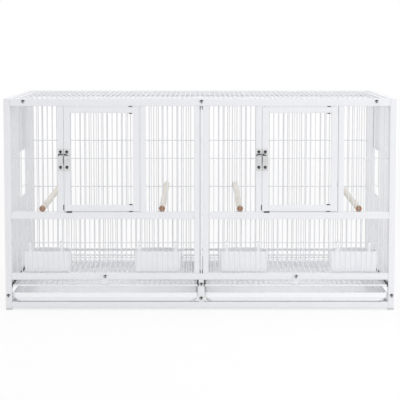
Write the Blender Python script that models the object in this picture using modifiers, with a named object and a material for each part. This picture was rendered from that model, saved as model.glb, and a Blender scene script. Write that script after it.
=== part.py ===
"""Double bird cage: two wire bays side by side in one welded tube frame.

Metres, +Z up. The front faces -Y and the origin is on the floor under the middle of the whole.
Wires are drawn with a square section of about the round wire's area.
"""

import math

import bmesh
import bpy
from mathutils import Matrix, Vector

# Overall size of the frame, and the gap between pieces that touch
WIDTH = 0.940
DEPTH = 0.457
HEIGHT = 0.512
GAP = 0.0003

# Square tube frame: widths as seen from the front, heights from the floor up
TUBE = 0.015
FOOT_H = 0.0046
BOTTOM_RAIL_H = 0.015
TRAY_MOUTH_H = 0.0543
LOWER_RAIL_H = 0.0157
LOWER_WINDOW_H = 0.1321
MID_RAIL_H = 0.0173
TOP_RAIL_H = 0.0175

# The slot between the bays, and the stiles beside it
SLOT_X = 0.003
SLOT_W = 0.0078
CENTRE_STILE_W = 0.0135
TRAY_POST_W = 0.012

# Door openings: the share of half the inner width that lies between a bay's left edge and its door stile
LATCH_STILE_SHARE = 0.25
STILE_W = 0.014
DOOR_OPENING_W = 0.1835

# Wires: a weld is how far a wire's end runs into the tube that holds it
WIRE = 0.002
PITCH = 0.0127
WELD = 0.003
LOWER_CROSS_Z = 0.1634
UPPER_CROSS_SHARE = 0.5055
PERCH_CROSS_RISE = 0.0099
LOWEST_CROSS_Z = 0.051
LOWER_CROSSES_Z = (0.0928, 0.1713)
BACK_BAR_Z = 0.0735
BACK_BAR_H = 0.0065

# Side panels, nest openings and nest doors
SIDE_WIRE_INSET = 0.0015
SIDE_ROD = 0.004
LEDGE_W = 0.0165
LEDGE_T = 0.002
LEDGE_LEG = 0.008
GRATE_SEAT_Z = 0.0577
NEST_WIRES_CUT = 7
STUB = 0.0014
NEST_DOOR_LAP = 0.0058
NEST_DOOR_BAR = 0.003
NEST_DOOR_SHOWN = 0.0062
NEST_DOOR_SHORT = 0.0055
NEST_DOOR_HEADROOM = 0.004
NEST_TAB_W = 0.020
NEST_TAB_REACH = 0.010
NEST_TAB_T = 0.0016
GUIDE_LOOP_RISE = 0.0298
GUIDE_GAP = 0.0004
GUIDE_TOP_REACH = 0.003

# Top panel
TOP_BORDER = 0.010
TOP_BORDER_DROP = 0.0025
TOP_CROSS_COUNT = 5
TOP_WIRE_DROP = 0.0004

# Centre runner
RUNNER_FLANGE_W = 0.032
RUNNER_WEB_W = 0.010
RUNNER_DEPTH = 0.0135
RUNNER_PLATE_T = 0.002
RUNNER_PLATE_MARGIN = 0.004

# Trays and grates
TRAY_SIDE_GAP = 0.0025
TRAY_BACK_GAP = 0.0007
TRAY_H = 0.0225
TRAY_WALL = 0.002
TRAY_LIP = 0.003
TRAY_LIP_H = 0.013
TRAY_CORNER_R = 0.014
SHARPEST_R = 0.0005
GRATE_ROD = 0.0045
GRATE_SIDE_GAP = 0.002
GRATE_FRONT_INSET = 0.0025
GRATE_BACK_GAP = 0.001
GRATE_CROSS_COUNT = 3

# Divider panel
DIVIDER_ROD = 0.0043
DIVIDER_RISE = 0.0042
DIVIDER_TOP_GAP = 0.0069
DIVIDER_FRONT_INSET = 0.0015
DIVIDER_BACK_GAP = 0.0005
DIVIDER_TIP_W = 0.005
DIVIDER_TIP_L = 0.012
DIVIDER_CROSS_COUNT = 2

# Front doors and pivot pins
DOOR_TUBE_W = 0.0145
DOOR_TUBE_T = 0.010
DOOR_LATCH_GAP = 0.0012
DOOR_HINGE_GAP = 0.0024
DOOR_END_GAP = 0.002
PIVOT_INSET = 0.0203
PIN_R = 0.0018
PIN_BORE_R = 0.0023
PIN_REACH = 0.007
PIN_COLLAR_R = 0.0048
PIN_HEAD_R = 0.0042
PIN_HEAD_H = 0.0018

# Latches
LATCH_DROP = 0.0028
LATCH_PLATE_W = 0.013
LATCH_PLATE_H = 0.052
LATCH_PLATE_T = 0.0015
LATCH_EDGE = 0.0005
LATCH_BLOCK_H = 0.0205
LATCH_BLOCK_D = 0.009
KEEPER_BLOCK_W = 0.0095
BOLT = 0.005
BOLT_TRAVEL = 0.0065
BOLT_SPARE = 0.0007
KNOB_R = 0.0018
KNOB_REACH = 0.0045
KNOB_WALL = 0.0008

# Feeder cups, placed like the door openings
FEEDER_SHARES = (0.1879, 0.7747)
FEEDER_W = 0.116
FEEDER_D = 0.062
FEEDER_H = 0.0515
FEEDER_BACK_R = 0.040
FEEDER_FRONT_R = 0.006
FEEDER_TAPER = 0.003
FEEDER_EDGE = 0.0025
FEEDER_WALL = 0.002
HOOK_W = 0.006
HOOK_T = 0.0018
HOOK_DROP = 0.006
HOOK_SEAT = 0.004
HOOK_SPREAD = 0.038

# Perches, placed like the door openings, each at the nearest wire
PERCH_SHARES = (0.1659, 0.7956)
PERCH_R = 0.0075
PERCH_FRONT_INSET = 0.001
PERCH_BACK_GAP = 0.0005
PERCH_SLOT_W = 0.0034
PERCH_SLOT_L = 0.012
PERCH_NOTCH = 0.003

# Swivel tabs over the grates
TAB_PIVOT_Z = 0.082
TAB_W = 0.015
TAB_T = 0.0016
TAB_CLEARANCE = 0.0005
TAB_HOLE_R = 0.0027
TAB_SCREW_R = 0.0018
TAB_BORE_R = 0.0023
TAB_SCREW_HEAD_R = 0.0048
TAB_SCREW_HEAD_H = 0.0022
TAB_SCREW_BITE = 0.006

# Places that several pieces share: the latches reach out in front of the frame
LATCH_REACH = GAP + LATCH_BLOCK_D + KNOB_REACH
MIDDLE_Y = LATCH_REACH / 2
FRONT = MIDDLE_Y - DEPTH / 2
BACK = MIDDLE_Y + DEPTH / 2
FRONT_IN = FRONT + TUBE
BACK_IN = BACK - TUBE
SIDE_LENGTH = BACK_IN - FRONT_IN - 2 * GAP
INNER_X = WIDTH / 2 - TUBE
CROSS_STEP = WIRE + GAP
FRONT_WIRE_Y = FRONT + TUBE / 2
BACK_WIRE_Y = BACK - TUBE / 2
FRONT_CROSS_Y = FRONT_WIRE_Y + CROSS_STEP
BACK_CROSS_Y = BACK_WIRE_Y - CROSS_STEP
FRAME_LOW_Z = FOOT_H + GAP
TRAY_MOUTH_LOW_Z = FRAME_LOW_Z + BOTTOM_RAIL_H
TRAY_MOUTH_HIGH_Z = TRAY_MOUTH_LOW_Z + TRAY_MOUTH_H
LOWER_WINDOW_Z = TRAY_MOUTH_HIGH_Z + LOWER_RAIL_H
MID_RAIL_LOW_Z = LOWER_WINDOW_Z + LOWER_WINDOW_H
MID_RAIL_HIGH_Z = MID_RAIL_LOW_Z + MID_RAIL_H
TOP_RAIL_LOW_Z = HEIGHT - TOP_RAIL_H
UPPER_CROSS_Z = MID_RAIL_HIGH_Z + UPPER_CROSS_SHARE * (TOP_RAIL_LOW_Z - MID_RAIL_HIGH_Z)
LATCH_Z = UPPER_CROSS_Z - LATCH_DROP
PERCH_CROSS_Z = MID_RAIL_HIGH_Z + PERCH_CROSS_RISE
GUIDE_LOOP_Z = PERCH_CROSS_Z + GUIDE_LOOP_RISE
NEST_HIGH_Z = TOP_RAIL_LOW_Z - NEST_DOOR_HEADROOM + PERCH_CROSS_Z + NEST_DOOR_SHOWN + NEST_DOOR_SHORT
NEST_HIGH_Z /= 2
SIDE_CROSS_Z = (*LOWER_CROSSES_Z, PERCH_CROSS_Z, NEST_HIGH_Z)
BACK_CROSS_Z = (LOWEST_CROSS_Z, *SIDE_CROSS_Z)
SIDE_WIRE_X = INNER_X + SIDE_WIRE_INSET
GRATE_TOP_Z = GRATE_SEAT_Z + GAP + GRATE_ROD
BAYS = {
    "left": (-INNER_X, SLOT_X - SLOT_W / 2 - CENTRE_STILE_W),
    "right": (SLOT_X + SLOT_W / 2 + CENTRE_STILE_W, INNER_X),
}
TRAY_SPANS = {
    "left": (-INNER_X, SLOT_X - TRAY_POST_W / 2),
    "right": (SLOT_X + TRAY_POST_W / 2, INNER_X),
}
SIDES = {"left": -1, "right": 1}


# Scene, collection and materials

for old in list(bpy.data.objects):
    bpy.data.objects.remove(old, do_unlink=True)

cage = bpy.data.collections.new("double_bird_cage")
bpy.context.scene.collection.children.link(cage)


def finish(name, colour, roughness, metallic=0.0):
    """A Principled material in one colour."""
    made = bpy.data.materials.new(name)
    made.use_nodes = True
    shader = made.node_tree.nodes["Principled BSDF"]
    shader.inputs["Base Color"].default_value = (*colour, 1)
    shader.inputs["Roughness"].default_value = roughness
    shader.inputs["Metallic"].default_value = metallic
    return made


POWDER_COAT = finish("white_powder_coat", (0.81, 0.82, 0.84), 0.4)
WHITE_PLASTIC = finish("white_plastic", (0.83, 0.84, 0.87), 0.35)
NICKEL = finish("nickel_plate", (0.62, 0.62, 0.60), 0.3, 1.0)
BLACK_SCREW = finish("black_screw", (0.02, 0.02, 0.02), 0.45)
BLACK_PLASTIC = finish("black_plastic", (0.03, 0.03, 0.03), 0.5)
PALE_WOOD = finish("pale_wood", (0.62, 0.48, 0.33), 0.7)
GREY_PLASTIC = finish("grey_plastic", (0.55, 0.55, 0.56), 0.5)


# Building blocks


def publish(name, bm, material):
    """The shapes in bm as one named object of the cage."""
    bmesh.ops.recalc_face_normals(bm, faces=bm.faces)
    mesh = bpy.data.meshes.new(name)
    bm.to_mesh(mesh)
    bm.free()
    mesh.materials.append(material)
    obj = bpy.data.objects.new(name, mesh)
    cage.objects.link(obj)
    return obj


def add_box(bm, span_x, span_y, span_z):
    spans = [sorted(span) for span in (span_x, span_y, span_z)]
    centre = Vector([(low + high) / 2 for low, high in spans])
    size = [high - low for low, high in spans]
    bmesh.ops.create_cube(bm, size=1, matrix=Matrix.Translation(centre) @ Matrix.Diagonal((*size, 1)))


def about(centre, width=WIRE):
    """The span of a bar's width about its centre line."""
    return centre - width / 2, centre + width / 2


def add_rod(bm, start, end, radius, sides=8):
    """A round bar between two points."""
    start, end = Vector(start), Vector(end)
    run = end - start
    place = Matrix.Translation((start + end) / 2) @ run.to_track_quat("Z", "Y").to_matrix().to_4x4()
    bmesh.ops.create_cone(
        bm, cap_ends=True, segments=sides, radius1=radius, radius2=radius, depth=run.length, matrix=place
    )


def keep_result(obj):
    """Makes the evaluated shape the object's own mesh."""
    graph = bpy.context.evaluated_depsgraph_get()
    obj.data = bpy.data.meshes.new_from_object(obj.evaluated_get(graph))
    obj.modifiers.clear()


def combine(obj, bm, operation):
    """Joins the separate shapes in bm to the object, or cuts them from it."""
    tool = publish(obj.name + "_tool", bm, obj.data.materials[0])
    modifier = obj.modifiers.new(operation, "BOOLEAN")
    modifier.operation = operation
    modifier.object = tool
    keep_result(obj)
    bpy.data.objects.remove(tool, do_unlink=True)


def join_boxes(obj, *boxes):
    bm = bmesh.new()
    for box in boxes:
        add_box(bm, *box)
    combine(obj, bm, "UNION")


def spaced(start, end, even=False):
    """Wire centres between two edges, with even gaps of about the pitch."""
    gaps = 2 * round((end - start) / PITCH / 2) if even else round((end - start) / PITCH)
    step = (end - start) / gaps
    return [start + step * i for i in range(1, gaps)]


def shared(start, end, count):
    """A few cross wires at even steps, with half a step at each end."""
    return [start + (end - start) * (i + 0.5) / count for i in range(count)]


def flat_panel(name, material, outer, windows, thickness, bands=(), wire_y=0.0, cross_y=CROSS_STEP):
    """A welded panel that stands in its own XZ plane, with its thickness centred on Y.

    Spans are (left, right, low, high). Each band of wires is a span and the heights of its cross wires.
    """
    bm = bmesh.new()
    half = thickness / 2
    add_box(bm, outer[:2], (-half, half), outer[2:])
    panel = publish(name, bm, material)
    cutter = bmesh.new()
    for left, right, low, high in windows:
        add_box(cutter, (left, right), (-thickness, thickness), (low, high))
    combine(panel, cutter, "DIFFERENCE")
    if bands:
        wires = bmesh.new()
        for (left, right, low, high), heights in bands:
            for x in spaced(left, right):
                add_box(wires, about(x), about(wire_y), (low - WELD, high + WELD))
            for z in heights:
                add_box(wires, (left - WELD, right + WELD), about(cross_y), about(z))
        combine(panel, wires, "UNION")
    return panel


def outline_bar(name, loops, length, material):
    """A flat outline, with any holes, extruded along its own Z to a bar or plate."""
    curve = bpy.data.curves.new(name, "CURVE")
    curve.dimensions = "2D"
    curve.fill_mode = "BOTH"
    curve.extrude = length / 2
    for loop in loops:
        spline = curve.splines.new("POLY")
        spline.points.add(len(loop) - 1)
        for point, (x, y) in zip(spline.points, loop):
            point.co = (x, y, 0, 1)
        spline.use_cyclic_u = True
    outline = bpy.data.objects.new(name + "_outline", curve)
    cage.objects.link(outline)
    graph = bpy.context.evaluated_depsgraph_get()
    bm = bmesh.new()
    bm.from_mesh(bpy.data.meshes.new_from_object(outline.evaluated_get(graph)))
    bpy.data.objects.remove(outline, do_unlink=True)
    bmesh.ops.remove_doubles(bm, verts=bm.verts, dist=0.000001)
    return publish(name, bm, material)


def rounded_ring(bm, half_x, half_y, z, back, front):
    """A loop of points round a rectangle. Its back and front corners are each a radius and a facet count."""
    ring = []
    corners = ((1, 1, 0, back), (-1, 1, 90, back), (-1, -1, 180, front), (1, -1, 270, front))
    for turn_x, turn_y, first, (radius, facets) in corners:
        for i in range(facets + 1):
            angle = math.radians(first + 90 * i / facets)
            x = turn_x * (half_x - radius) + radius * math.cos(angle)
            y = turn_y * (half_y - radius) + radius * math.sin(angle)
            ring.append(bm.verts.new((x, y, z)))
    return ring


def moulded_tub(name, width, depth, back, front, levels, material):
    """An open tub: rounded rings lofted from the underside, over the rim, down to the inner floor.

    Its origin is under its middle. Each level is how far its ring lies inside the rim, and its height.
    """
    bm = bmesh.new()
    rings = []
    for inset, z in levels:
        corners = [(max(radius - inset, SHARPEST_R), facets) for radius, facets in (back, front)]
        rings.append(rounded_ring(bm, width / 2 - inset, depth / 2 - inset, z, *corners))
    bm.faces.new(rings[0])
    bm.faces.new(rings[-1])
    for lower, upper in zip(rings, rings[1:]):
        for i in range(len(lower)):
            j = (i + 1) % len(lower)
            bm.faces.new((lower[i], lower[j], upper[j], upper[i]))
    return publish(name, bm, material)


def turned(name, profile, material, location, rotation=(0, 0, 0), steps=8):
    """A turned piece: a profile of radius and height, listed from its top down, spun about its own Z."""
    mesh = bpy.data.meshes.new(name)
    bm = bmesh.new()
    points = [bm.verts.new((radius, 0, height)) for radius, height in profile]
    for upper, lower in zip(points, points[1:]):
        bm.edges.new((upper, lower))
    bm.to_mesh(mesh)
    bm.free()
    mesh.materials.append(material)
    obj = bpy.data.objects.new(name, mesh)
    cage.objects.link(obj)
    spin = obj.modifiers.new("turn", "SCREW")
    spin.steps = steps
    spin.render_steps = steps
    spin.use_merge_vertices = True
    spin.merge_threshold = 0.00001
    obj.location = location
    obj.rotation_euler = rotation
    return obj


def place(obj, location, rotation=(0, 0, 0)):
    obj.location = location
    obj.rotation_euler = rotation


def ride(child, parent):
    """Puts the child on the parent, where it stands now."""
    bpy.context.view_layer.update()
    child.parent = parent
    child.matrix_parent_inverse = parent.matrix_world.inverted()


# Rotations that lay a panel's own XZ plane flat, or turn it to face out of a side
FLAT = (math.radians(-90), 0, 0)
UPRIGHT = (math.radians(90), 0, 0)


def facing_out(side):
    return 0, 0, math.radians(90) * SIDES[side]


def door_opening(bay):
    start = BAYS[bay][0] + LATCH_STILE_SHARE * INNER_X + STILE_W
    return start, start + DOOR_OPENING_W


def pivot_x(bay):
    return door_opening(bay)[1] - DOOR_HINGE_GAP - PIVOT_INSET


def tab_x(bay):
    return sum(TRAY_SPANS[bay]) / 2


# Front panel


def make_front_panel():
    outer = (-WIDTH / 2, WIDTH / 2, FRAME_LOW_Z, HEIGHT)
    windows = [(*about(SLOT_X, SLOT_W), LOWER_WINDOW_Z, TOP_RAIL_LOW_Z)]
    bands = []
    for bay, (start, end) in BAYS.items():
        door_start, door_end = door_opening(bay)
        bands.append(((start, end, LOWER_WINDOW_Z, MID_RAIL_LOW_Z), [LOWER_CROSS_Z]))
        for left, right in ((start, door_start - STILE_W), (door_end + STILE_W, end)):
            bands.append(((left, right, MID_RAIL_HIGH_Z, TOP_RAIL_LOW_Z), [UPPER_CROSS_Z]))
        windows.append((door_start, door_end, MID_RAIL_HIGH_Z, TOP_RAIL_LOW_Z))
        windows.append((*TRAY_SPANS[bay], TRAY_MOUTH_LOW_Z, TRAY_MOUTH_HIGH_Z))
    windows += [span for span, heights in bands]
    panel = flat_panel("front_panel", POWDER_COAT, outer, windows, TUBE, bands)
    place(panel, (0, FRONT_WIRE_Y, 0))
    bores = bmesh.new()
    pivot_y = (DOOR_TUBE_T - TUBE) / 2
    for bay in BAYS:
        x = pivot_x(bay)
        high = TOP_RAIL_LOW_Z + PIN_REACH + GAP
        low = MID_RAIL_HIGH_Z - PIN_REACH - GAP
        add_rod(bores, (x, pivot_y, TOP_RAIL_LOW_Z - WELD), (x, pivot_y, high), PIN_BORE_R)
        add_rod(bores, (x, pivot_y, low), (x, pivot_y, MID_RAIL_HIGH_Z + WELD), PIN_BORE_R)
        x = tab_x(bay)
        deep = TAB_SCREW_BITE + GAP - TUBE / 2
        add_rod(bores, (x, -TUBE, TAB_PIVOT_Z), (x, deep, TAB_PIVOT_Z), TAB_BORE_R)
    place(panel, (0, 0, 0))
    combine(panel, bores, "DIFFERENCE")
    place(panel, (0, FRONT_WIRE_Y, 0))


# Back panel


def make_back_panel():
    outer = (-WIDTH / 2, WIDTH / 2, FRAME_LOW_Z, HEIGHT)
    window = (-INNER_X, INNER_X, TRAY_MOUTH_LOW_Z, TOP_RAIL_LOW_Z)
    bands = [(window, BACK_CROSS_Z)]
    panel = flat_panel("back_panel", POWDER_COAT, outer, [window], TUBE, bands, cross_y=-CROSS_STEP)
    reach = INNER_X + WELD
    join_boxes(panel, ((-reach, reach), about(-CROSS_STEP), about(BACK_BAR_Z, BACK_BAR_H)))
    place(panel, (0, BACK_WIRE_Y, 0))


# Side panels and nest doors, drawn facing -Y and turned to face out of their sides


def side_wires():
    end = SIDE_LENGTH / 2 - SIDE_ROD
    return spaced(-end, end, even=True)


def side_step():
    places = side_wires()
    return places[1] - places[0]


def nest_half_w():
    """From the middle of the nest opening to the wire on either side of it."""
    return (NEST_WIRES_CUT + 1) / 2 * side_step()


def nest_door_y():
    return WIRE + GUIDE_GAP


def make_side_panel(side):
    end = SIDE_LENGTH / 2
    outward = -SIDE_ROD / 2
    section = (
        (outward + LEDGE_W, GRATE_SEAT_Z - LEDGE_T),
        (outward + LEDGE_W, GRATE_SEAT_Z),
        (outward, GRATE_SEAT_Z),
        (outward, GRATE_SEAT_Z - LEDGE_LEG),
        (outward + LEDGE_T, GRATE_SEAT_Z - LEDGE_LEG),
        (outward + LEDGE_T, GRATE_SEAT_Z - LEDGE_T),
    )
    panel = outline_bar(f"{side}_side_panel", [section], 2 * end, POWDER_COAT)
    panel.data.transform(Matrix(((0, 0, 1, 0), (1, 0, 0, 0), (0, 1, 0, 0), (0, 0, 0, 1))))
    foot = GRATE_SEAT_Z - LEDGE_T / 2
    head = TOP_RAIL_LOW_Z + WELD
    rod_y = (GAP - SIDE_ROD / 2, SIDE_ROD / 2 - 2 * GAP)
    rod_x = (end - SIDE_ROD, end - GAP)
    join_boxes(panel, (rod_x, rod_y, (foot, head)), ((-rod_x[0], -rod_x[1]), rod_y, (foot, head)))
    tube_out = SIDE_WIRE_X - WIDTH / 2
    join_boxes(panel, ((-end, end), (tube_out, tube_out + TUBE), (TOP_RAIL_LOW_Z, HEIGHT)))
    wires = []
    for x in side_wires():
        if abs(x) < nest_half_w() - PITCH / 2:
            wires.append((about(x), about(0), (foot, PERCH_CROSS_Z)))
            wires.append((about(x), about(0), (NEST_HIGH_Z, head)))
        else:
            wires.append((about(x), about(0), (foot, head)))
    join_boxes(panel, *wires)
    cross_end = end - SIDE_ROD / 2
    join_boxes(panel, *[((-cross_end, cross_end), about(-CROSS_STEP), about(z)) for z in SIDE_CROSS_Z])
    stubs = []
    for x in side_wires():
        if abs(x) < nest_half_w() - PITCH / 2:
            stubs.append((about(x, STUB), (-CROSS_STEP, 0), (PERCH_CROSS_Z - STUB, PERCH_CROSS_Z - STUB / 4)))
            stubs.append((about(x, STUB), (-CROSS_STEP, 0), (NEST_HIGH_Z + STUB / 4, NEST_HIGH_Z + STUB)))
    join_boxes(panel, *stubs)
    loop_y = 2 * nest_door_y()
    leg_x = nest_half_w() + NEST_DOOR_LAP - NEST_DOOR_BAR / 2
    loop_x = nest_half_w() + side_step()
    stub_z = TOP_RAIL_LOW_Z + GUIDE_TOP_REACH
    join_boxes(panel, *[(about(x, STUB), (0, loop_y), about(GUIDE_LOOP_Z, STUB)) for x in (-loop_x, loop_x)])
    join_boxes(panel, ((-loop_x - WIRE, loop_x + WIRE), about(loop_y), about(GUIDE_LOOP_Z)))
    join_boxes(panel, *[(about(x, STUB), (0, loop_y), about(stub_z, STUB)) for x in (-leg_x, leg_x)])
    join_boxes(panel, *[(about(x), about(loop_y - GAP / 2), (GUIDE_LOOP_Z, stub_z + WIRE)) for x in (-leg_x, leg_x)])
    place(panel, (SIDES[side] * SIDE_WIRE_X, MIDDLE_Y, 0), facing_out(side))


def make_nest_door(side):
    half_w = nest_half_w() + NEST_DOOR_LAP
    low = NEST_HIGH_Z - NEST_DOOR_SHOWN
    height = NEST_HIGH_Z - PERCH_CROSS_Z - NEST_DOOR_SHORT
    edge = NEST_DOOR_BAR
    wires = [x for x in side_wires() if abs(x) < half_w - edge - WIRE]
    edges = [-half_w + edge]
    for x in wires:
        edges += about(x)
    edges.append(half_w - edge)
    windows = [(left, right, edge, height - edge) for left, right in zip(edges[::2], edges[1::2])]
    door = flat_panel(f"{side}_nest_door", POWDER_COAT, (-half_w, half_w, 0, height), windows, WIRE)
    tab_y = (-WIRE / 2 - NEST_TAB_REACH, 0)
    join_boxes(door, (about(0, NEST_TAB_W), tab_y, about(edge / 2, NEST_TAB_T)))
    place(door, (SIDES[side] * (SIDE_WIRE_X - nest_door_y()), MIDDLE_Y, low), facing_out(side))


# Top panel


def make_top_panel():
    half_x = INNER_X - GAP
    half_y = SIDE_LENGTH / 2
    window = (TOP_BORDER - half_x, half_x - TOP_BORDER, TOP_BORDER - half_y, half_y - TOP_BORDER)
    crosses = shared(window[2], window[3], TOP_CROSS_COUNT)
    wire_y = (WIRE - TOP_BORDER) / 2 + TOP_WIRE_DROP
    outer = (-half_x, half_x, -half_y, half_y)
    bands = [(window, crosses)]
    panel = flat_panel("top_panel", POWDER_COAT, outer, [window], TOP_BORDER, bands, wire_y, wire_y + CROSS_STEP)
    place(panel, (0, MIDDLE_Y, HEIGHT - TOP_BORDER_DROP - TOP_BORDER / 2), FLAT)


# Base rails, centre runner and feet


def make_base_rail(side):
    bm = bmesh.new()
    x = SIDES[side] * (WIDTH - TUBE) / 2
    add_box(bm, about(0, TUBE), about(0, SIDE_LENGTH), about(0, TUBE))
    place(publish(f"{side}_base_rail", bm, POWDER_COAT), (x, MIDDLE_Y, FRAME_LOW_Z + TUBE / 2))


def make_centre_runner():
    flange, web = RUNNER_FLANGE_W / 2, RUNNER_WEB_W / 2
    section = (
        (-flange, 0),
        (-flange, -LEDGE_T),
        (-web, -LEDGE_T),
        (-web, -RUNNER_DEPTH),
        (web, -RUNNER_DEPTH),
        (web, -LEDGE_T),
        (flange, -LEDGE_T),
        (flange, 0),
    )
    runner = outline_bar("centre_runner", [section], SIDE_LENGTH - RUNNER_PLATE_T, POWDER_COAT)
    runner.data.transform(Matrix.Rotation(UPRIGHT[0], 4, "X"))
    end = SIDE_LENGTH / 2
    plate_x = about(0, TRAY_POST_W)
    front_z = (TRAY_MOUTH_LOW_Z + RUNNER_PLATE_MARGIN, TRAY_MOUTH_HIGH_Z - RUNNER_PLATE_MARGIN)
    back_z = (FRAME_LOW_Z + RUNNER_PLATE_MARGIN / 2, GRATE_SEAT_Z - LEDGE_T / 2)
    join_boxes(
        runner,
        (plate_x, (-end, RUNNER_PLATE_T - end), [z - GRATE_SEAT_Z for z in front_z]),
        (plate_x, (end - RUNNER_PLATE_T, end), [z - GRATE_SEAT_Z for z in back_z]),
    )
    place(runner, (SLOT_X, MIDDLE_Y, GRATE_SEAT_Z))


def make_feet():
    for side, turn in SIDES.items():
        for where, y in (("front", FRONT_WIRE_Y), ("back", BACK_WIRE_Y)):
            bm = bmesh.new()
            top = TUBE / math.sqrt(2)
            bmesh.ops.create_cone(
                bm,
                cap_ends=True,
                segments=4,
                radius1=top - FOOT_H / 3,
                radius2=top,
                depth=FOOT_H,
                matrix=Matrix.Rotation(math.radians(45), 4, "Z"),
            )
            foot = publish(f"{where}_{side}_foot", bm, GREY_PLASTIC)
            place(foot, (turn * (WIDTH - TUBE) / 2, y, FOOT_H / 2))


# Trays and grates


def make_tray(bay):
    left, right = TRAY_SPANS[bay]
    width = right - left - 2 * TRAY_SIDE_GAP
    back = BACK_CROSS_Y - WIRE / 2 - TRAY_BACK_GAP
    lip_z = TRAY_H - TRAY_LIP_H
    levels = (
        (TRAY_LIP, 0),
        (TRAY_LIP, lip_z),
        (0, lip_z),
        (0, TRAY_H),
        (TRAY_LIP + TRAY_WALL, TRAY_H),
        (TRAY_LIP + TRAY_WALL, TRAY_WALL),
    )
    corner = (TRAY_CORNER_R, 3)
    tray = moulded_tub(f"{bay}_tray", width, back - FRONT, corner, corner, levels, WHITE_PLASTIC)
    place(tray, ((left + right) / 2, (back + FRONT) / 2, TRAY_MOUTH_LOW_Z + GAP))


def make_grate(bay):
    left, right = TRAY_SPANS[bay]
    half_x = (right - left) / 2 - GRATE_SIDE_GAP
    front = FRONT + GRATE_FRONT_INSET
    back = BACK_IN - GRATE_BACK_GAP
    half_y = (back - front) / 2
    window = (GRATE_ROD - half_x, half_x - GRATE_ROD, GRATE_ROD - half_y, half_y - GRATE_ROD)
    crosses = shared(window[2], window[3], GRATE_CROSS_COUNT)
    outer = (-half_x, half_x, -half_y, half_y)
    wire_y = -CROSS_STEP / 2
    bands = [(window, crosses)]
    grate = flat_panel(f"{bay}_grate", POWDER_COAT, outer, [window], GRATE_ROD, bands, wire_y, -wire_y)
    place(grate, ((left + right) / 2, (front + back) / 2, GRATE_TOP_Z - GRATE_ROD / 2), FLAT)


# Swivel tabs on their screws


def make_tab(bay):
    radius = TAB_W / 2
    drop = TAB_PIVOT_Z - GRATE_TOP_Z - TAB_CLEARANCE - radius
    steps = [math.pi * i / 6 for i in range(7)]
    upper = [(radius * math.cos(a), radius * math.sin(a)) for a in steps]
    lower = [(-radius * math.cos(a), -drop - radius * math.sin(a)) for a in steps]
    hole = [math.radians(45 * i + 22.5) for i in range(8)]
    loops = (upper + lower, [(TAB_HOLE_R * math.cos(a), TAB_HOLE_R * math.sin(a)) for a in hole])
    tab = outline_bar(f"{bay}_tab", loops, TAB_T, POWDER_COAT)
    place(tab, (tab_x(bay), FRONT - GAP - TAB_T / 2, TAB_PIVOT_Z), UPRIGHT)
    profile = (
        (0, TAB_SCREW_HEAD_H),
        (TAB_SCREW_HEAD_R * 0.7, TAB_SCREW_HEAD_H),
        (TAB_SCREW_HEAD_R, TAB_SCREW_HEAD_H * 0.35),
        (TAB_SCREW_HEAD_R, 0),
        (TAB_SCREW_R, 0),
        (TAB_SCREW_R, -2 * GAP - TAB_T - TAB_SCREW_BITE),
        (0, -2 * GAP - TAB_T - TAB_SCREW_BITE),
    )
    seat = (tab_x(bay), FRONT - 2 * GAP - TAB_T, TAB_PIVOT_Z)
    turned(f"{bay}_tab_screw", profile, BLACK_SCREW, seat, UPRIGHT)


# Divider panel and its plastic tips


def make_divider():
    front = FRONT + DIVIDER_FRONT_INSET
    back = BACK_CROSS_Y - WIRE / 2 - DIVIDER_BACK_GAP
    low = LOWER_WINDOW_Z + DIVIDER_RISE
    height = TOP_RAIL_LOW_Z - DIVIDER_TOP_GAP - low
    half = (back - front) / 2
    rod = DIVIDER_ROD
    window = (rod - half, half - rod, rod, height - rod)
    crosses = shared(window[2], window[3], DIVIDER_CROSS_COUNT)
    bands = [(window, crosses)]
    wire_y = -CROSS_STEP / 2
    divider = flat_panel("divider", POWDER_COAT, (-half, half, 0, height), [window], rod, bands, wire_y, -wire_y)
    place(divider, (SLOT_X, (front + back) / 2, low), (0, 0, math.radians(90)))
    spans = {
        "divider_top_tip": (low + height + GAP, TOP_RAIL_LOW_Z - GAP),
        "divider_bottom_tip": (LOWER_WINDOW_Z + GAP, low - GAP),
    }
    for name, (bottom, top) in spans.items():
        bm = bmesh.new()
        add_box(bm, about(0, DIVIDER_TIP_W), (0, DIVIDER_TIP_L), (0, top - bottom))
        tip = publish(name, bm, BLACK_PLASTIC)
        place(tip, (SLOT_X, front, bottom))
        ride(tip, divider)


# Front doors, their pivot pins and latches


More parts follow.
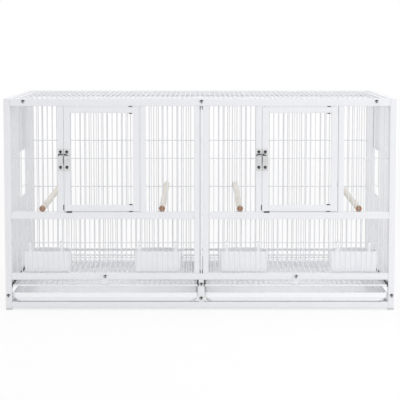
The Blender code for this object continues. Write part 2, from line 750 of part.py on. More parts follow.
def make_door(bay):
    start, end = door_opening(bay)
    left = start + DOOR_LATCH_GAP - pivot_x(bay)
    right = PIVOT_INSET
    low = MID_RAIL_HIGH_Z + DOOR_END_GAP
    height = TOP_RAIL_LOW_Z - DOOR_END_GAP - low
    window = (left + DOOR_TUBE_W, right - DOOR_TUBE_W, DOOR_TUBE_W, height - DOOR_TUBE_W)
    bands = [(window, [UPPER_CROSS_Z - low])]
    door = flat_panel(f"{bay}_door", POWDER_COAT, (left, right, 0, height), [window], DOOR_TUBE_T, bands)
    bores = bmesh.new()
    add_rod(bores, (0, 0, -WELD), (0, 0, DOOR_TUBE_W + WELD), PIN_BORE_R)
    add_rod(bores, (0, 0, height - DOOR_TUBE_W - WELD), (0, 0, height + WELD), PIN_BORE_R)
    combine(door, bores, "DIFFERENCE")
    pivot_y = FRONT + DOOR_TUBE_T / 2
    place(door, (pivot_x(bay), pivot_y, low))
    collar_h = DOOR_END_GAP - 2 * GAP
    shank = GAP + DOOR_TUBE_W + GAP
    profile = (
        (0, collar_h + GAP + PIN_REACH),
        (PIN_R, collar_h + GAP + PIN_REACH),
        (PIN_R, collar_h),
        (PIN_COLLAR_R, collar_h),
        (PIN_COLLAR_R, 0),
        (PIN_R, 0),
        (PIN_R, -shank),
        (PIN_HEAD_R, -shank),
        (PIN_HEAD_R, -shank - PIN_HEAD_H),
        (0, -shank - PIN_HEAD_H),
    )
    upper = (pivot_x(bay), pivot_y, low + height + GAP)
    lower = (pivot_x(bay), pivot_y, low - GAP)
    turned(f"{bay}_upper_pin", profile, BLACK_PLASTIC, upper)
    turned(f"{bay}_lower_pin", profile, BLACK_PLASTIC, lower, (math.pi, 0, 0))
    return door


def latch_plate(name, block_x):
    """A nickel plate with a raised block, drawn against its own XZ plane with its middle at the origin."""
    bm = bmesh.new()
    add_box(bm, about(0, LATCH_PLATE_W), (-LATCH_PLATE_T, 0), about(0, LATCH_PLATE_H))
    piece = publish(name, bm, NICKEL)
    join_boxes(piece, (block_x, (-LATCH_BLOCK_D, -LATCH_PLATE_T / 2), about(0, LATCH_BLOCK_H)))
    return piece


def cut_box(obj, span_x, span_y, span_z):
    cutter = bmesh.new()
    add_box(cutter, span_x, span_y, span_z)
    combine(obj, cutter, "DIFFERENCE")


def make_latch(bay, door):
    half = LATCH_PLATE_W / 2
    bolt_y = -LATCH_BLOCK_D / 2 - LATCH_PLATE_T / 4
    channel = BOLT + 2 * GAP
    start = door_opening(bay)[0]
    plate_y = FRONT - GAP

    housing = latch_plate(f"{bay}_latch_housing", (GAP - half, half - GAP))
    housing_x = start + DOOR_LATCH_GAP + LATCH_EDGE + half
    cut_box(housing, (-LATCH_PLATE_W, LATCH_PLATE_W), about(bolt_y, channel), about(0, channel))
    knob_x = half - GAP - KNOB_WALL - GAP - KNOB_R
    slot_x = (knob_x - BOLT_TRAVEL - KNOB_R - GAP, knob_x + KNOB_R + GAP)
    cut_box(housing, slot_x, (-2 * LATCH_BLOCK_D, bolt_y), about(0, 2 * (KNOB_R + GAP)))
    place(housing, (housing_x, plate_y, LATCH_Z))
    ride(housing, door)

    bm = bmesh.new()
    add_box(bm, (GAP - half, half - GAP), about(0, BOLT), about(0, BOLT))
    bolt = publish(f"{bay}_latch_bolt", bm, NICKEL)
    knob = bmesh.new()
    knob_y = -LATCH_BLOCK_D - KNOB_REACH - bolt_y
    add_rod(knob, (knob_x, 0, 0), (knob_x, knob_y, 0), KNOB_R)
    combine(bolt, knob, "UNION")
    place(bolt, (housing_x, plate_y + bolt_y, LATCH_Z))
    ride(bolt, door)

    keeper = latch_plate(f"{bay}_latch_keeper", (half - GAP - KEEPER_BLOCK_W, half - GAP))
    gap = 2 * LATCH_EDGE + DOOR_LATCH_GAP + 2 * GAP
    pocket = BOLT_TRAVEL - gap + BOLT_SPARE
    cut_box(keeper, (half - GAP - pocket, half + WELD), about(bolt_y, channel), about(0, channel))
    place(keeper, (start - LATCH_EDGE - half, plate_y, LATCH_Z))


# Feeder cups, half round in plan: each stands on the lower rail and hooks over the lower cross wire


def nearest_gap(bay, x):
    start, end = BAYS[bay]
    wires = spaced(start, end)
    step = wires[1] - wires[0]
    return start + step * (round((x - start) / step - 0.5) + 0.5)


def make_feeder(bay, number):
    levels = (
        (FEEDER_TAPER + FEEDER_EDGE, 0),
        (FEEDER_TAPER, FEEDER_EDGE),
        (0, FEEDER_H),
        (FEEDER_WALL, FEEDER_H),
        (FEEDER_WALL + FEEDER_TAPER + FEEDER_EDGE / 2, FEEDER_WALL),
    )
    name = f"{bay}_feeder_{number + 1}"
    back, front = (FEEDER_BACK_R, 6), (FEEDER_FRONT_R, 2)
    feeder = moulded_tub(name, FEEDER_W, FEEDER_D, back, front, levels, WHITE_PLASTIC)
    x = BAYS[bay][0] + FEEDER_SHARES[number] * INNER_X
    y = FRONT_CROSS_Y + WIRE / 2 + GAP + FEEDER_D / 2
    low = LOWER_WINDOW_Z + GAP
    wire_front = FRONT_CROSS_Y - WIRE / 2 - GAP - y
    wire_top = LOWER_CROSS_Z + WIRE / 2 + GAP - low
    leg_y = (GAP - FEEDER_D / 2, GAP - FEEDER_D / 2 + HOOK_T)
    section = (
        (leg_y[1], FEEDER_H - HOOK_SEAT),
        (leg_y[1], wire_top + HOOK_T),
        (wire_front - HOOK_T, wire_top + HOOK_T),
        (wire_front - HOOK_T, wire_top - HOOK_DROP),
        (wire_front, wire_top - HOOK_DROP),
        (wire_front, wire_top),
        (leg_y[0], wire_top),
        (leg_y[0], FEEDER_H - HOOK_SEAT),
    )
    for turn in (-1, 1):
        hook_x = nearest_gap(bay, x + turn * HOOK_SPREAD) - x
        hook = outline_bar(name + "_hook", [section], HOOK_W, WHITE_PLASTIC)
        hook.data.transform(Matrix(((0, 0, 1, hook_x), (1, 0, 0, 0), (0, 1, 0, 0), (0, 0, 0, 1))))
        bm = bmesh.new()
        bm.from_mesh(hook.data)
        bpy.data.objects.remove(hook, do_unlink=True)
        combine(feeder, bm, "UNION")
    place(feeder, (x, y, low))


# Perches, each slotted over a front wire and notched over the back cross wire


def make_perch(bay, number):
    start, end = BAYS[bay]
    door_start, door_end = door_opening(bay)
    band = ((start, door_start - STILE_W), (door_end + STILE_W, end))[number]
    wanted = start + PERCH_SHARES[number] * INNER_X
    x = min(spaced(*band), key=lambda place_x: abs(place_x - wanted))
    front = FRONT + PERCH_FRONT_INSET
    back = BACK_WIRE_Y - WIRE / 2 - PERCH_BACK_GAP
    wire_top = PERCH_CROSS_Z + WIRE / 2 + GAP
    near = Vector((0, 0, 0))
    near_z = MID_RAIL_HIGH_Z + GAP + PERCH_R
    far_z = wire_top - PERCH_NOTCH + PERCH_R
    far = Vector((0, back - front, far_z - near_z))
    bm = bmesh.new()
    add_rod(bm, near, far, PERCH_R, 12)
    perch = publish(f"{bay}_perch_{number + 1}", bm, PALE_WOOD)
    cuts = bmesh.new()
    add_box(cuts, about(0, PERCH_SLOT_W), (-PERCH_R, PERCH_SLOT_L), about(0, 3 * PERCH_R))
    notch_y = BACK_CROSS_Y - WIRE / 2 - GAP - front
    add_box(cuts, about(0, 3 * PERCH_R), (notch_y, notch_y + 2 * PERCH_R), (-2 * PERCH_R, wire_top - near_z))
    combine(perch, cuts, "DIFFERENCE")
    place(perch, (x, front, near_z))


make_front_panel()
make_back_panel()
make_top_panel()
make_centre_runner()
make_feet()
make_divider()
for side_name in SIDES:
    make_side_panel(side_name)
    make_nest_door(side_name)
    make_base_rail(side_name)
    make_tray(side_name)
    make_grate(side_name)
    make_tab(side_name)
    make_latch(side_name, make_door(side_name))
    for index in range(2):
        make_feeder(side_name, index)
        make_perch(side_name, index)
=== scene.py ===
"""A double bird cage in white powder-coated wire, as it stands in a plain product photograph."""

import math

import bmesh
import bpy
from mathutils import Matrix, Vector


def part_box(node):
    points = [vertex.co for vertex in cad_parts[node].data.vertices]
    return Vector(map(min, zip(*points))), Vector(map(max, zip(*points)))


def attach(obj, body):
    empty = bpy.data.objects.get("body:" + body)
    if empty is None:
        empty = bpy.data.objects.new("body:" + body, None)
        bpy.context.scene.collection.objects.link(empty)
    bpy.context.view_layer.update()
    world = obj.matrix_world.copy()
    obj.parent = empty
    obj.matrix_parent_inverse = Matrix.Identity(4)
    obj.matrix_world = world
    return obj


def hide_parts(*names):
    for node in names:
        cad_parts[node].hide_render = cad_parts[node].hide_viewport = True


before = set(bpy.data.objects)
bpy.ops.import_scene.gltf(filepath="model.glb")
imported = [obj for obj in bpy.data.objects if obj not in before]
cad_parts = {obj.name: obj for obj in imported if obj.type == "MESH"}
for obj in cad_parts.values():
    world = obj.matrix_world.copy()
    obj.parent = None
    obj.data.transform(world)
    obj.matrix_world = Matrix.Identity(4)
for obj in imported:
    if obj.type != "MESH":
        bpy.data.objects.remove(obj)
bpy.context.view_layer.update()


# Front panel
# Square steel tubes welded into one frame, with wires resistance-welded between them, then
# sprayed white in one go. Each bay has a lower band of wires and a door opening in its upper band.


class Shade:
    """One output of a material's nodes. Python's operators on it add the Math nodes that they mean."""

    def __init__(self, tree, output=None):
        self.tree = tree
        self.output = output

    def node(self, kind, settings, sockets, output=0):
        """Adds a node: its settings first, then the value or the link of each socket."""
        made = self.tree.nodes.new(kind)
        for name, value in settings.items():
            setattr(made, name, value)
        for name, value in sockets.items():
            if isinstance(value, Shade):
                self.tree.links.new(value.output, made.inputs[name])
            else:
                made.inputs[name].default_value = value
        return Shade(self.tree, made.outputs[output])

    def maths(self, operation, *values):
        return self.node("ShaderNodeMath", {"operation": operation}, dict(enumerate(values)))

    def __add__(self, other):
        return self.maths("ADD", self, other)

    def __radd__(self, other):
        return self.maths("ADD", other, self)

    def __sub__(self, other):
        return self.maths("SUBTRACT", self, other)

    def __rsub__(self, other):
        return self.maths("SUBTRACT", other, self)

    def __mul__(self, other):
        return self.maths("MULTIPLY", self, other)

    def __rmul__(self, other):
        return self.maths("MULTIPLY", other, self)

    def scaled(self, factor, offset):
        """This output times a factor plus an offset, kept between 0 and 1."""
        settings = {"operation": "MULTIPLY_ADD", "use_clamp": True}
        return self.node("ShaderNodeMath", settings, {0: self, 1: factor, 2: offset})

    def __gt__(self, other):
        return self.maths("GREATER_THAN", self, other)

    def __abs__(self):
        return self.maths("ABSOLUTE", self)

    def mix(self, low, high):
        """A colour between two colours, by this output."""
        colours = {0: self, 6: low, 7: high}
        for index in (6, 7):
            if not isinstance(colours[index], Shade):
                colours[index] = (*colours[index], 1)
        return self.node("ShaderNodeMix", {"data_type": "RGBA"}, colours, 2)

    def noise(self, scale, detail=2.0, rough=0.5):
        """Noise over these points, with a scale in cycles per metre."""
        sockets = {"Vector": self, "Scale": scale, "Detail": detail, "Roughness": rough}
        return self.node("ShaderNodeTexNoise", {}, sockets)

    def stretched(self, x, y, z):
        """These points, stretched along each axis."""
        return self.node("ShaderNodeVectorMath", {"operation": "MULTIPLY"}, {0: self, 1: (x, y, z)})


def finish(name, **values):
    """A material's Principled shader with its plain values set, and the points it lies on."""
    made = bpy.data.materials.new(name)
    made.use_nodes = True
    shader = made.node_tree.nodes["Principled BSDF"]
    for key, value in values.items():
        shader.inputs[key.replace("_", " ").title().replace("Ior", "IOR")].default_value = value
    points = Shade(made.node_tree).node("ShaderNodeTexCoord", {}, {}, "Object")
    return made, shader, points


def coat(shader, **sockets):
    """Links outputs to a shader's sockets, named with underscores."""
    for key, value in sockets.items():
        value.tree.links.new(value.output, shader.inputs[key.replace("_", " ").title()])


def bumped(height, depth, strength=1.0):
    """A normal raised by a height, with its depth in metres."""
    sockets = {"Height": height, "Distance": depth, "Strength": strength}
    return height.node("ShaderNodeBump", {}, sockets)


def powder_coat_finish(name, thin, thick):
    """Satin white powder between two tones: a faint orange peel, specks of dust and an uneven film."""
    made, shader, points = finish(name, specular_ior_level=0.5)
    cloud = points.noise(9, 3)
    film = points.noise(55, 2)
    peel = points.noise(750, 2)
    specks = points.noise(420, 0) > 0.735
    tone = (cloud * 0.7 + film * 0.3).mix(thin, thick)
    coat(shader, base_color=(specks * 0.5).mix(tone, (0.66, 0.66, 0.66)))
    coat(shader, roughness=film * 0.14 + 0.33)
    coat(shader, normal=bumped(peel, 0.00012, 0.35))
    return made


# The wires of the front, the back and the doors take a darker copy of the powder coat: painted shade.
powder_coat = powder_coat_finish("powder_coat", (0.79, 0.797, 0.825), (0.85, 0.856, 0.88))
shaded_wire_coat = powder_coat_finish("shaded_wire_coat", (0.75, 0.757, 0.785), (0.82, 0.827, 0.855))


def placed(name, data):
    """A new object in the scene that holds this data."""
    obj = bpy.data.objects.new(name, data)
    bpy.context.scene.collection.objects.link(obj)
    return obj


def piece(name, bm, material, body, slot, *nodes):
    """The shapes in bm as one piece that rides on a body and stands for these CAD nodes."""
    bmesh.ops.recalc_face_normals(bm, faces=bm.faces)
    mesh = bpy.data.meshes.new(name)
    bm.to_mesh(mesh)
    bm.free()
    mesh.materials.append(material)
    mesh.shade_smooth()
    mesh.set_sharp_from_angle(angle=math.radians(50))
    obj = placed(name, mesh)
    weigh = obj.modifiers.new("even_faces", "WEIGHTED_NORMAL")
    weigh.keep_sharp = True
    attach(obj, body)
    if nodes:
        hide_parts(*nodes)
    return obj


def block(bm, *spans):
    """A plain box between its ends along X, Y and Z, as its vertices and its size."""
    centre = Vector([(low + high) / 2 for low, high in spans])
    size = [high - low for low, high in spans]
    place = Matrix.Translation(centre) @ Matrix.Diagonal((*size, 1))
    return bmesh.ops.create_cube(bm, size=1, matrix=place)["verts"], size


def tube(bm, span_x, span_y, span_z, radius=0.0016, segments=3):
    """A straight tube of rectangular section, with its long edges rounded."""
    corners, size = block(bm, sorted(span_x), sorted(span_y), sorted(span_z))
    axis = size.index(max(size))
    edges = {edge for vert in corners for edge in vert.link_edges}
    long_edges = [e for e in edges if abs((e.verts[0].co - e.verts[1].co)[axis]) > size[axis] / 2]
    bmesh.ops.bevel(bm, geom=long_edges, offset=radius, segments=segments, affect="EDGES", profile=0.5)


WIRE_R = 0.0011
HALF_INCH = 0.0127
BITE = 0.003


def wire(bm, start, end, radius=WIRE_R, sides=8):
    """A round wire between two points."""
    start, end = Vector(start), Vector(end)
    run = end - start
    place = Matrix.Translation((start + end) / 2) @ run.to_track_quat("Z", "Y").to_matrix().to_4x4()
    size = {"radius1": radius, "radius2": radius, "depth": run.length}
    bmesh.ops.create_cone(bm, cap_ends=True, segments=sides, matrix=place, **size)


def spaced(start, end, even=False):
    """Wire centres between two edges, at even steps of about half an inch."""
    gaps = round((end - start) / HALF_INCH)
    if even:
        gaps = 2 * round((end - start) / HALF_INCH / 2)
    step = (end - start) / gaps
    return [start + step * i for i in range(1, gaps)]


def wire_band(bm, left, right, low, high, y, crosses, cross_y):
    """Upright wires from edge to edge in a window, and the cross wires pressed onto them."""
    for x in spaced(left, right):
        wire(bm, (x, y, low - BITE), (x, y, high + BITE))
    for z in crosses:
        wire(bm, (left - BITE, cross_y, z), (right + BITE, cross_y, z))


TUBE = 0.015
STILE_W = 0.014
CENTRE_STILE_W = 0.0135
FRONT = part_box("front_panel")[0].y
FRAME_LOW, FRAME_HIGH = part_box("front_panel")[0].z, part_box("front_panel")[1].z
HALF_W = 0.470
INNER_X = HALF_W - TUBE
TRAY_MOUTH = (FRAME_LOW + TUBE, FRAME_LOW + 0.0693)
LOWER_WINDOW = (TRAY_MOUTH[1] + 0.0157, TRAY_MOUTH[1] + 0.1478)
UPPER_WINDOW = (LOWER_WINDOW[1] + 0.0173, FRAME_HIGH - 0.0175)
LOWER_CROSS = 0.1634
UPPER_CROSS = 0.3683
WIRE_DROP = 0.0021
FINE_EDGE = 0.0006
LATCH_EDGE = 0.0004
SLOT = (-0.0009, 0.0069)
BAYS = {"left": (-INNER_X, SLOT[0] - CENTRE_STILE_W), "right": (SLOT[1] + CENTRE_STILE_W, INNER_X)}
DOOR_START, DOOR_END = 0.12775, 0.31125
DOORWAYS = {bay: (start + DOOR_START, start + DOOR_END) for bay, (start, end) in BAYS.items()}
TRAY_POST = (-0.003, 0.009)


def make_front():
    tubes, wires = bmesh.new(), bmesh.new()
    depth = (FRONT, FRONT + TUBE)
    for turn in (-1, 1):
        tube(tubes, (turn * HALF_W, turn * INNER_X), depth, (FRAME_LOW, FRAME_HIGH))
    rails = ((FRAME_LOW, TRAY_MOUTH[0]), (TRAY_MOUTH[1], LOWER_WINDOW[0]), (UPPER_WINDOW[1], FRAME_HIGH))
    for rail in rails:
        tube(tubes, (-INNER_X, INNER_X), depth, rail)
    tube(tubes, TRAY_POST, depth, TRAY_MOUTH)
    for bay, (start, end) in BAYS.items():
        centre_stile = (end, SLOT[0]) if bay == "left" else (start, SLOT[1])
        tube(tubes, centre_stile, depth, (LOWER_WINDOW[0], UPPER_WINDOW[1]))
        tube(tubes, (start, end), depth, (LOWER_WINDOW[1], UPPER_WINDOW[0]))
        door_start, door_end = DOORWAYS[bay]
        tube(tubes, (door_start - STILE_W, door_start + LATCH_EDGE), depth, UPPER_WINDOW, FINE_EDGE)
        tube(tubes, (door_end, door_end + STILE_W), depth, UPPER_WINDOW)
        y = FRONT + TUBE / 2
        wire_band(wires, start, end, *LOWER_WINDOW, y, [LOWER_CROSS], y + WIRE_DROP)
        for left, right in ((start, door_start - STILE_W), (door_end + STILE_W, end)):
            wire_band(wires, left, right, *UPPER_WINDOW, y, [UPPER_CROSS], y + WIRE_DROP)
    piece("front_frame", tubes, powder_coat, "cage", "powder_coat", "front_panel")
    piece("front_wires", wires, shaded_wire_coat, "cage", "powder_coat", "front_panel")


make_front()


# Back panel
# A tube frame like the front's, with no middle rails: full-height wires, five cross wires inside
# them, and one flat bar low down that the trays stop against.

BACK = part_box("back_panel")[1].y
PERCH_CROSS = 0.2492
PANEL_CROSSES = (0.0928, 0.1713, PERCH_CROSS, 0.3757)
STOP_BAR = (0.07025, 0.07675)


def make_back():
    tubes, wires = bmesh.new(), bmesh.new()
    depth = (BACK - TUBE, BACK)
    for turn in (-1, 1):
        tube(tubes, (turn * HALF_W, turn * INNER_X), depth, (FRAME_LOW, FRAME_HIGH))
    for low, high in ((FRAME_LOW, TRAY_MOUTH[0]), (UPPER_WINDOW[1], FRAME_HIGH)):
        tube(tubes, (-INNER_X, INNER_X), depth, (low, high))
    y = BACK - TUBE / 2
    crosses = (0.051, *PANEL_CROSSES)
    wire_band(wires, -INNER_X, INNER_X, TRAY_MOUTH[0], UPPER_WINDOW[1], y, crosses, y - WIRE_DROP)
    bar_depth = (y - WIRE_DROP - 0.001, y - WIRE_DROP + 0.001)
    tube(wires, (-INNER_X - BITE, INNER_X + BITE), bar_depth, STOP_BAR, 0.0007)
    piece("back_frame", tubes, powder_coat, "cage", "powder_coat", "back_panel")
    piece("back_wires", wires, shaded_wire_coat, "cage", "powder_coat", "back_panel")


make_back()


# Side panels
# A top tube with wires hung from it, a round rod at each end and a folded angle below, whose ledge
# carries the grate. Seven wires are cut short for the nest opening, inside a loop that guides its door.

SIDES = {"left": -1, "right": 1}
SIDE_X = INNER_X + 0.0015
MIDDLE_Y = 0.0069
SIDE_HALF = (BACK - FRONT) / 2 - TUBE - 0.0003
NEST_HIGH = PANEL_CROSSES[-1]
GRATE_SEAT = 0.0577
LEDGE_W, LEDGE_T = 0.0145, 0.002
FOLD_H = 0.008
LOOP_Y, LOOP_Z = 0.0048, 0.279
THIN_WIRE_R = 0.0009
END_ROD_R = 0.0019
# The wires of the sides, the top, the divider and the grates take a lighter copy of the powder coat:
# painted light inside the cage.
lit_inner_coat = powder_coat_finish("lit_inner_coat", (0.87, 0.875, 0.90), (0.93, 0.935, 0.95))
side_wires = spaced(0.004 - SIDE_HALF, SIDE_HALF - 0.004, even=True)
nest_half = 4 * (side_wires[1] - side_wires[0])


def facing_out(side):
    """Turns shapes drawn to face -Y in their own XZ plane to face out of a side."""
    turn = Matrix.Rotation(math.radians(90) * SIDES[side], 4, "Z")
    return Matrix.Translation((SIDES[side] * SIDE_X, MIDDLE_Y, 0)) @ turn


def make_side(side):
    tubes, wires = bmesh.new(), bmesh.new()
    outward = SIDE_X - HALF_W
    length = (-SIDE_HALF, SIDE_HALF)
    tube(tubes, length, (outward, outward + TUBE), (UPPER_WINDOW[1], FRAME_HIGH))
    tube(tubes, length, (-LEDGE_T, LEDGE_W), (GRATE_SEAT - LEDGE_T, GRATE_SEAT), 0.0005, 2)
    tube(tubes, length, (-LEDGE_T, 0), (GRATE_SEAT - FOLD_H, GRATE_SEAT - 0.0003), 0.0005, 2)
    foot, head = GRATE_SEAT - 0.001, UPPER_WINDOW[1] + BITE
    for turn in (-1, 1):
        x = turn * (SIDE_HALF - 0.0021)
        wire(wires, (x, 0, foot), (x, 0, head), END_ROD_R, 10)
    for x in side_wires:
        if abs(x) < nest_half - 0.006:
            wire(wires, (x, 0, foot), (x, 0, PERCH_CROSS + 0.0008))
            wire(wires, (x, 0, NEST_HIGH - 0.0008), (x, 0, head))
        else:
            wire(wires, (x, 0, foot), (x, 0, head))
    for z in PANEL_CROSSES:
        wire(wires, (0.002 - SIDE_HALF, -WIRE_DROP, z), (SIDE_HALF - 0.002, -WIRE_DROP, z))
    loop_x = nest_half + side_wires[1] - side_wires[0]
    wire(wires, (-loop_x - 0.0022, LOOP_Y, LOOP_Z), (loop_x + 0.0022, LOOP_Y, LOOP_Z))
    for turn in (-1, 1):
        wire(wires, (turn * loop_x, -0.0005, LOOP_Z), (turn * loop_x, LOOP_Y, LOOP_Z), THIN_WIRE_R)
        x = turn * (nest_half + 0.0043)
        wire(wires, (x, LOOP_Y, LOOP_Z), (x, LOOP_Y, UPPER_WINDOW[1] + 0.005))
        wire(wires, (x, 0.002, head), (x, LOOP_Y, head), THIN_WIRE_R)
    for bm in (tubes, wires):
        bm.transform(facing_out(side))
    piece(f"{side}_side_frame", tubes, powder_coat, "cage", "powder_coat", f"{side}_side_panel")
    piece(f"{side}_side_wires", wires, lit_inner_coat, "cage", "powder_coat", f"{side}_side_panel")


for side in SIDES:
    make_side(side)


# Nest doors
# A wire gate that slides up and down behind each side opening, with a small folded tab to push it by.

GATE_Y = 0.0024
GATE_BAR = 0.003
GATE_LOW = NEST_HIGH - 0.0062
GATE_HIGH = GATE_LOW + NEST_HIGH - PERCH_CROSS - 0.0055


def make_nest_door(side):
    bm = bmesh.new()
    half, y, low, high = nest_half + 0.0058, GATE_Y, GATE_LOW, GATE_HIGH
    for turn in (-1, 1):
        tube(bm, (turn * half, turn * (half - GATE_BAR)), (y - 0.001, y + 0.001), (low, high), 0.0007)
    for z in (low, high - GATE_BAR):
        tube(bm, (0.002 - half, half - 0.002), (y - 0.00095, y + 0.00095), (z, z + GATE_BAR), 0.0007)
    for x in side_wires:
        if abs(x) < half - 0.005:
            wire(bm, (x, y, low + 0.001), (x, y, high - 0.001), 0.00095)
    tube(bm, (-0.010, 0.010), (y - 0.0110, y), (low + 0.0007, low + 0.0023), 0.0006)
    bm.transform(facing_out(side))
    node = f"{side}_nest_door"
    piece(f"{side}_nest_gate", bm, powder_coat, f"{node}_body", "powder_coat", node)


for side in SIDES:
    make_nest_door(side)


# Top panel
# A border of thin square bar, set between the top tubes a little below their upper faces. Wires run
# across it from front to back, with five cross wires welded under them.

BORDER_W = 0.010


def shared(start, end, count):
    """Cross wires at even steps, with half a step at each end."""
    return [start + (end - start) * (i + 0.5) / count for i in range(count)]


def make_top():
    borders, wires = bmesh.new(), bmesh.new()
    low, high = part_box("top_panel")
    depth = (low.z, high.z)
    inner_x = high.x - BORDER_W
    inner_y = (high.y - low.y) / 2 - BORDER_W
    front, back = MIDDLE_Y - inner_y, MIDDLE_Y + inner_y
    for turn in (-1, 1):
        edge = MIDDLE_Y + turn * inner_y
        tube(borders, (low.x, high.x), (edge, edge + turn * BORDER_W), depth)
        tube(borders, (turn * inner_x, turn * (inner_x + BORDER_W)), (front, back), depth)
    z = high.z - 0.0014
    for x in spaced(-inner_x, inner_x):
        wire(wires, (x, front - BITE, z), (x, back + BITE, z))
    for y in shared(front, back, 5):
        wire(wires, (-inner_x - BITE, y, z - WIRE_DROP), (inner_x + BITE, y, z - WIRE_DROP))
    piece("top_border", borders, powder_coat, "cage", "powder_coat", "top_panel")
    piece("top_wires", wires, lit_inner_coat, "cage", "powder_coat", "top_panel")


make_top()


# Base rails and centre runner
# Tubes that join the front and back panels near the floor, and a pressed runner between the bays
# that carries the grates' inner edges.


def soften(node, material, width=0.0003, segments=2):
    """Gives a CAD node its material and takes the sharpness off its edges."""
    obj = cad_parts[node]
    for held in obj.material_slots:
        held.material = material
    weld = obj.modifiers.new("weld", "WELD")
    weld.merge_threshold = 0.000002
    edge = obj.modifiers.new("edge", "BEVEL")
    edge.width = width
    edge.segments = segments
    edge.limit_method = "ANGLE"
    edge.angle_limit = math.radians(35)


def make_base_rail(side):
    bm = bmesh.new()
    low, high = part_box(f"{side}_base_rail")
    tube(bm, (low.x, high.x), (low.y, high.y), (low.z, high.z))
    piece(f"{side}_base_tube", bm, powder_coat, "cage", "powder_coat", f"{side}_base_rail")


for side in SIDES:
    make_base_rail(side)
soften("centre_runner", powder_coat, 0.0004)


# Feet
# Grey rubbery plastic caps, tapered, pushed into the posts from below.


def grey_plastic_finish():
    made, shader, points = finish("grey_plastic")
    mottle = points.noise(300, 3)
    coat(shader, base_color=mottle.mix((0.62, 0.62, 0.63), (0.70, 0.70, 0.71)))
    coat(shader, roughness=mottle * 0.2 + 0.45)
    coat(shader, normal=bumped(points.noise(1500, 2), 0.00008, 0.4))
    return made


grey_plastic = grey_plastic_finish()
for end in ("front", "back"):
    for side in SIDES:
        soften(f"{end}_{side}_foot", grey_plastic, 0.0005)


# Trays
# Injection-moulded white plastic: a shallow tub under a deep rolled lip, which slides on the frame's
# bottom rails. The mould leaves a fine matte grain and slow waves in the thickness.


def white_plastic_finish():
    made, shader, points = finish("white_plastic", specular_ior_level=0.5)
    flow = points.stretched(1, 0.35, 1).noise(14, 2)
    grain = points.noise(1800, 1)
    coat(shader, base_color=flow.mix((0.905, 0.91, 0.935), (0.93, 0.935, 0.955)))
    coat(shader, roughness=flow * 0.1 + 0.13)
    coat(shader, normal=bumped(flow * 0.9 + grain * 0.1, 0.0003, 0.25))
    return made


white_plastic = white_plastic_finish()


def skin(bm, rings):
    """Faces between rings of vertices, and one over the first ring and the last."""
    bm.faces.new(rings[0])
    bm.faces.new(rings[-1])
    for lower, upper in zip(rings, rings[1:]):
        for i in range(len(lower)):
            j = (i + 1) % len(lower)
            bm.faces.new((lower[i], lower[j], upper[j], upper[i]))


def tub(bm, width, depth, back_r, front_r, levels):
    """A moulded tub round the origin. Each level is how far it lies inside the rim and its height,
    with a third number where its corners are rounder than the rim's.
    """
    rings = []
    for inset, z, *rounder in levels:
        ring = []
        for turn_x, turn_y, first in ((1, 1, 0), (-1, 1, 90), (-1, -1, 180), (1, -1, 270)):
            radius = max((back_r if turn_y > 0 else front_r) - inset + sum(rounder), 0.0006)
            steps = 14 if radius > 0.02 else 7
            for i in range(steps + 1):
                angle = math.radians(first + 90 * i / steps)
                x = turn_x * (width / 2 - inset - radius) + radius * math.cos(angle)
                y = turn_y * (depth / 2 - inset - radius) + radius * math.sin(angle)
                ring.append(bm.verts.new((x, y, z)))
        rings.append(ring)
    skin(bm, rings)


def make_tray(bay):
    low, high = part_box(f"{bay}_tray")
    levels = (  # the bottom, the wall under the lip, the lip outside and in, and the floor
        (0.0078, 0, 0.017), (0.0062, 0.0003, 0.016), (0.0048, 0.0012, 0.014), (0.0039, 0.0026, 0.012),
        (0.0034, 0.0048, 0.009), (0.0031, 0.0090, 0.004), (0.0027, 0.0096, 0.003), (0.0006, 0.0096),
        (0.0001, 0.0100), (0, 0.0106), (0, 0.0211), (0.0004, 0.0220), (0.0014, 0.0225), (0.0038, 0.0225),
        (0.0047, 0.0221), (0.005, 0.0212), (0.0054, 0.0070, 0.006), (0.0062, 0.0045, 0.010),
        (0.0078, 0.0028, 0.013), (0.0100, 0.002, 0.015),
    )
    corner_r = 0.008
    bm = bmesh.new()
    tub(bm, high.x - low.x, high.y - low.y, corner_r, corner_r, levels)
    bm.transform(Matrix.Translation(((low.x + high.x) / 2, (low.y + high.y) / 2, low.z)))
    node = f"{bay}_tray"
    piece(f"{node}_moulding", bm, white_plastic, f"{node}_body", "white_plastic", node)


for bay in BAYS:
    make_tray(bay)


# Grates
# A rod frame with wires from front to back, laid over three cross wires. The birds' mess falls
# through it into the tray.


def make_grate(bay):
    bm = bmesh.new()
    low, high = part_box(f"{bay}_grate")
    radius = (high.z - low.z) / 2
    z = low.z + radius
    left, right, front, back = low.x + radius, high.x - radius, low.y + radius, high.y - radius
    for x in (left, right):
        wire(bm, (x, low.y, z), (x, high.y, z), radius, 12)
    for y in (front, back):
        wire(bm, (left, y, z), (right, y, z), radius, 12)
    lift = WIRE_DROP / 2
    for x in spaced(left + radius, right - radius):
        wire(bm, (x, front, z + lift), (x, back, z + lift))
    for y in shared(front + radius, back - radius, 3):
        wire(bm, (left, y, z - lift), (right, y, z - lift))
    node = f"{bay}_grate"
    piece(f"{node}_wires", bm, lit_inner_coat, f"{node}_body", "powder_coat", node)


for bay in BAYS:
    make_grate(bay)


# Grate gap shade strips
# A black plastic strip of angle section along both sides of each grate, on the ledge and the runner:
# painted shade for the dark gap beside each grate's side rods.


def black_plastic_finish():
    made, shader, points = finish("black_plastic")
    mottle = points.noise(500, 2)
    coat(shader, base_color=mottle.mix((0.022, 0.022, 0.023), (0.045, 0.045, 0.046)))
    coat(shader, roughness=mottle * 0.25 + 0.35)
    coat(shader, normal=bumped(points.noise(2500, 1), 0.00005, 0.4))
    return made


black_plastic = black_plastic_finish()
SHADE_STRIP_TOP = GRATE_SEAT + 0.0080
SHADE_STRIP_RUN = (FRONT + 0.0015, BACK - TUBE - 0.001)


